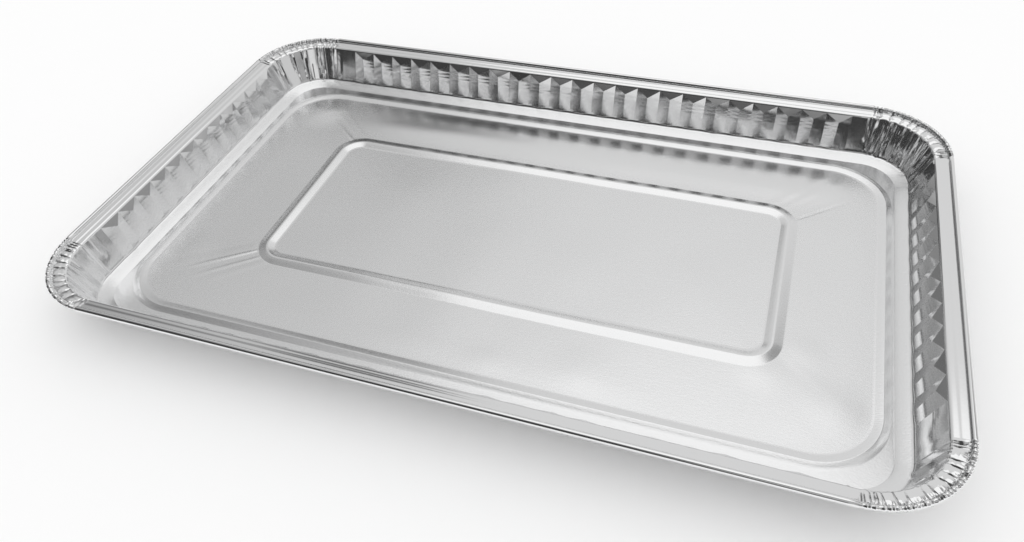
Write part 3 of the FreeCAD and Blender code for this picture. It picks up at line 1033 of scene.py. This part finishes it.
def cloth_material(wash, patches, gaps):
    """Graded cloth: clear where the white behind it shows through, and black where it does not.

    The wash is (direction, cosine where it starts, cosine where it is full, least, most). Each
    patch or gap is (direction, full radius, outer radius, level), with the radii in degrees: a
    patch shows at least that level, and a gap leaves that share of what is there.
    """
    material, nodes, links, output = new_material("graded_cloth")
    place = nodes.new("ShaderNodeTexCoord")
    way = nodes.new("ShaderNodeVectorMath")
    way.operation = "NORMALIZE"
    links.new(place.outputs["Object"], way.inputs[0])

    def graded(direction, start, full, least, most):
        facing = nodes.new("ShaderNodeVectorMath")
        facing.operation = "DOT_PRODUCT"
        facing.inputs[1].default_value = direction
        links.new(way.outputs["Vector"], facing.inputs[0])
        level = add_node(nodes, "ShaderNodeMapRange", {"From Min": start, "From Max": full,
                                                       "To Min": least, "To Max": most})
        level.interpolation_type = "SMOOTHSTEP"
        links.new(facing.outputs["Value"], level.inputs["Value"])
        return level.outputs["Result"]

    def spot(direction, full, outer, around, level):
        edge, inner = math.cos(math.radians(outer)), math.cos(math.radians(full))
        return graded(direction, edge, inner, around, level)

    total = graded(*wash)
    for direction, full, outer, level in patches:
        patch = spot(direction, full, outer, 0.0, level)
        total = math_node(nodes, links, "MAXIMUM", total, patch)
    for direction, full, outer, level in gaps:
        gap = spot(direction, full, outer, 1.0, level)
        total = math_node(nodes, links, "MULTIPLY", total, gap)
    cloth = add_node(nodes, "ShaderNodeBsdfDiffuse", {"Color": BLACK})
    clear = nodes.new("ShaderNodeBsdfTransparent")
    mix = nodes.new("ShaderNodeMixShader")
    links.new(total, mix.inputs["Fac"])
    links.new(cloth.outputs["BSDF"], mix.inputs[1])
    links.new(clear.outputs["BSDF"], mix.inputs[2])
    links.new(mix.outputs["Shader"], output.inputs["Surface"])
    return material


pan.data.materials.append(foil_material())


# ---------- floor, light and camera

scene = bpy.context.scene
FLOOR_SIZE = 14.0    # metres
TENT_RADIUS = 5.0
TENT_AROUND, TENT_UP = 48, 12   # faces of the tent


def add_plane(name, size, material):
    half = size / 2
    corners = [(-half, -half, 0), (half, -half, 0), (half, half, 0), (-half, half, 0)]
    plane = bpy.data.meshes.new(name)
    plane.from_pydata(corners, [], [(0, 1, 2, 3)])
    plane.materials.append(material)
    item = bpy.data.objects.new(name, plane)
    scene.collection.objects.link(item)
    return item


def toward(azimuth, elevation):
    """Unit vector; azimuth 0 is the -Y side that the camera is on, and 90 is +X."""
    a, e = math.radians(azimuth), math.radians(elevation)
    return Vector((math.sin(a) * math.cos(e), -math.cos(a) * math.cos(e), math.sin(e)))


def add_tent(radius, material):
    """A half dome of graded cloth over the pan that only its reflections show."""
    around, up = TENT_AROUND, TENT_UP
    points = []
    for j in range(up):
        for i in range(around):
            points.append(tuple(toward(360 * i / around, 90 * j / up) * radius))
    faces = []
    for j in range(up - 1):
        for i in range(around):
            k = (i + 1) % around
            low, high = j * around, (j + 1) * around
            faces.append((low + i, low + k, high + k, high + i))
    points.append((0.0, 0.0, radius))
    last = (up - 1) * around
    for i in range(around):
        faces.append((last + i, last + (i + 1) % around, len(points) - 1))
    dome = bpy.data.meshes.new("light_tent")
    dome.from_pydata(points, [], faces)
    dome.materials.append(material)
    item = bpy.data.objects.new("light_tent", dome)
    scene.collection.objects.link(item)
    item.visible_camera = False
    item.visible_diffuse = False
    item.visible_shadow = False
    return item


paper = add_plane("paper_floor", FLOOR_SIZE, floor_material())
paper.location = (0.0, 0.0, GROUND * MM)

# The light comes from high up behind the pan's right side and fades to dark on the other side. A
# soft box hangs overhead, a little behind. Smaller ones stand low in front and on the right, and
# hang high on the left and at the back left. The fills keep the metal from going black as seen from
# the other sides. The gaps are dark breaks in the light: two behind the pan's left side, and one
# high up behind its right. Each is given as where it is, the angles from its middle between which
# it fades, and its level.
WASH = (toward(150.0, 30.0), -0.2, 0.85, 0.045, 0.7)
SOFT_BOX = (toward(172.0, 75.0), 22.0, 30.0, 1.0)
LOW_BOX = (toward(25.0, 8.0), 8.0, 13.0, 0.75)
RIGHT_BOX = (toward(90.0, 4.0), 14.0, 28.0, 0.62)
LEFT_BOX = (toward(288.0, 66.0), 4.0, 18.0, 0.5)
FAR_LEFT_BOX = (toward(234.0, 44.0), 5.0, 17.0, 0.6)
SIDE_FILL = (toward(262.0, 30.0), 8.0, 32.0, 0.36)
FRONT_FILL = (toward(24.0, 42.0), 5.0, 24.0, 0.5)
REAR_FILL = (toward(58.0, 22.0), 6.0, 24.0, 0.42)
GAP = (toward(208.0, 26.0), 3.0, 10.0, 0.25)
LOW_GAP = (toward(224.0, 6.0), 8.0, 22.0, 0.45)
SIDE_GAP = (toward(132.0, 44.0), 4.0, 18.0, 0.4)
BOXES = (SOFT_BOX, LOW_BOX, RIGHT_BOX, LEFT_BOX, FAR_LEFT_BOX, SIDE_FILL, FRONT_FILL, REAR_FILL)
add_tent(TENT_RADIUS, cloth_material(WASH, BOXES, (GAP, LOW_GAP, SIDE_GAP)))


LIGHTING = 1.06


def studio_world():
    """White to the eye and in reflections; what it lights gets a slightly stronger white."""
    world = bpy.data.worlds.new("studio")
    world.use_nodes = True
    nodes = world.node_tree.nodes
    links = world.node_tree.links
    nodes.clear()
    output = nodes.new("ShaderNodeOutputWorld")
    seen = add_node(nodes, "ShaderNodeBackground", {"Color": WHITE, "Strength": 1.0})
    lighting = add_node(nodes, "ShaderNodeBackground", {"Color": WHITE, "Strength": LIGHTING})
    path = nodes.new("ShaderNodeLightPath")
    either = math_node(nodes, links, "MAXIMUM",
                       path.outputs["Is Camera Ray"], path.outputs["Is Glossy Ray"])
    any_of = math_node(nodes, links, "MAXIMUM", either, path.outputs["Is Transmission Ray"])
    mix = nodes.new("ShaderNodeMixShader")
    links.new(any_of, mix.inputs["Fac"])
    links.new(lighting.outputs["Background"], mix.inputs[1])
    links.new(seen.outputs["Background"], mix.inputs[2])
    links.new(mix.outputs["Shader"], output.inputs["Surface"])
    return world


scene.world = studio_world()
scene.view_settings.view_transform = "Standard"

# The camera looks down at the rim from the near right, rolled a little to the left.
CAMERA_AZIMUTH = 21.497
CAMERA_ELEVATION = 44.027
CAMERA_ROLL = -4.057
CAMERA_DISTANCE = 396.956
CAMERA_TARGET = (16.37, -55.001, 25.5)
CAMERA_LENS = 28.048
CAMERA_SENSOR = 36.0
CAMERA_CLIP = (0.01, 50.0)   # metres

camera_data = bpy.data.cameras.new("camera")
camera_data.lens = CAMERA_LENS
camera_data.sensor_width = CAMERA_SENSOR
camera_data.clip_start, camera_data.clip_end = CAMERA_CLIP
camera = bpy.data.objects.new("camera", camera_data)
scene.collection.objects.link(camera)
scene.camera = camera
back = toward(CAMERA_AZIMUTH, CAMERA_ELEVATION)
right = (-back).cross(Vector((0, 0, 1))).normalized()
upward = right.cross(-back)
roll = math.radians(CAMERA_ROLL)
rolled_right = right * math.cos(roll) + upward * math.sin(roll)
rolled_up = upward * math.cos(roll) - right * math.sin(roll)
location = Vector(CAMERA_TARGET) * MM + back * CAMERA_DISTANCE * MM
camera.matrix_world = Matrix((
    (rolled_right.x, rolled_up.x, back.x, location.x),
    (rolled_right.y, rolled_up.y, back.y, location.y),
    (rolled_right.z, rolled_up.z, back.z, location.z),
    (0, 0, 0, 1),
))

bpy.context.view_layer.update()
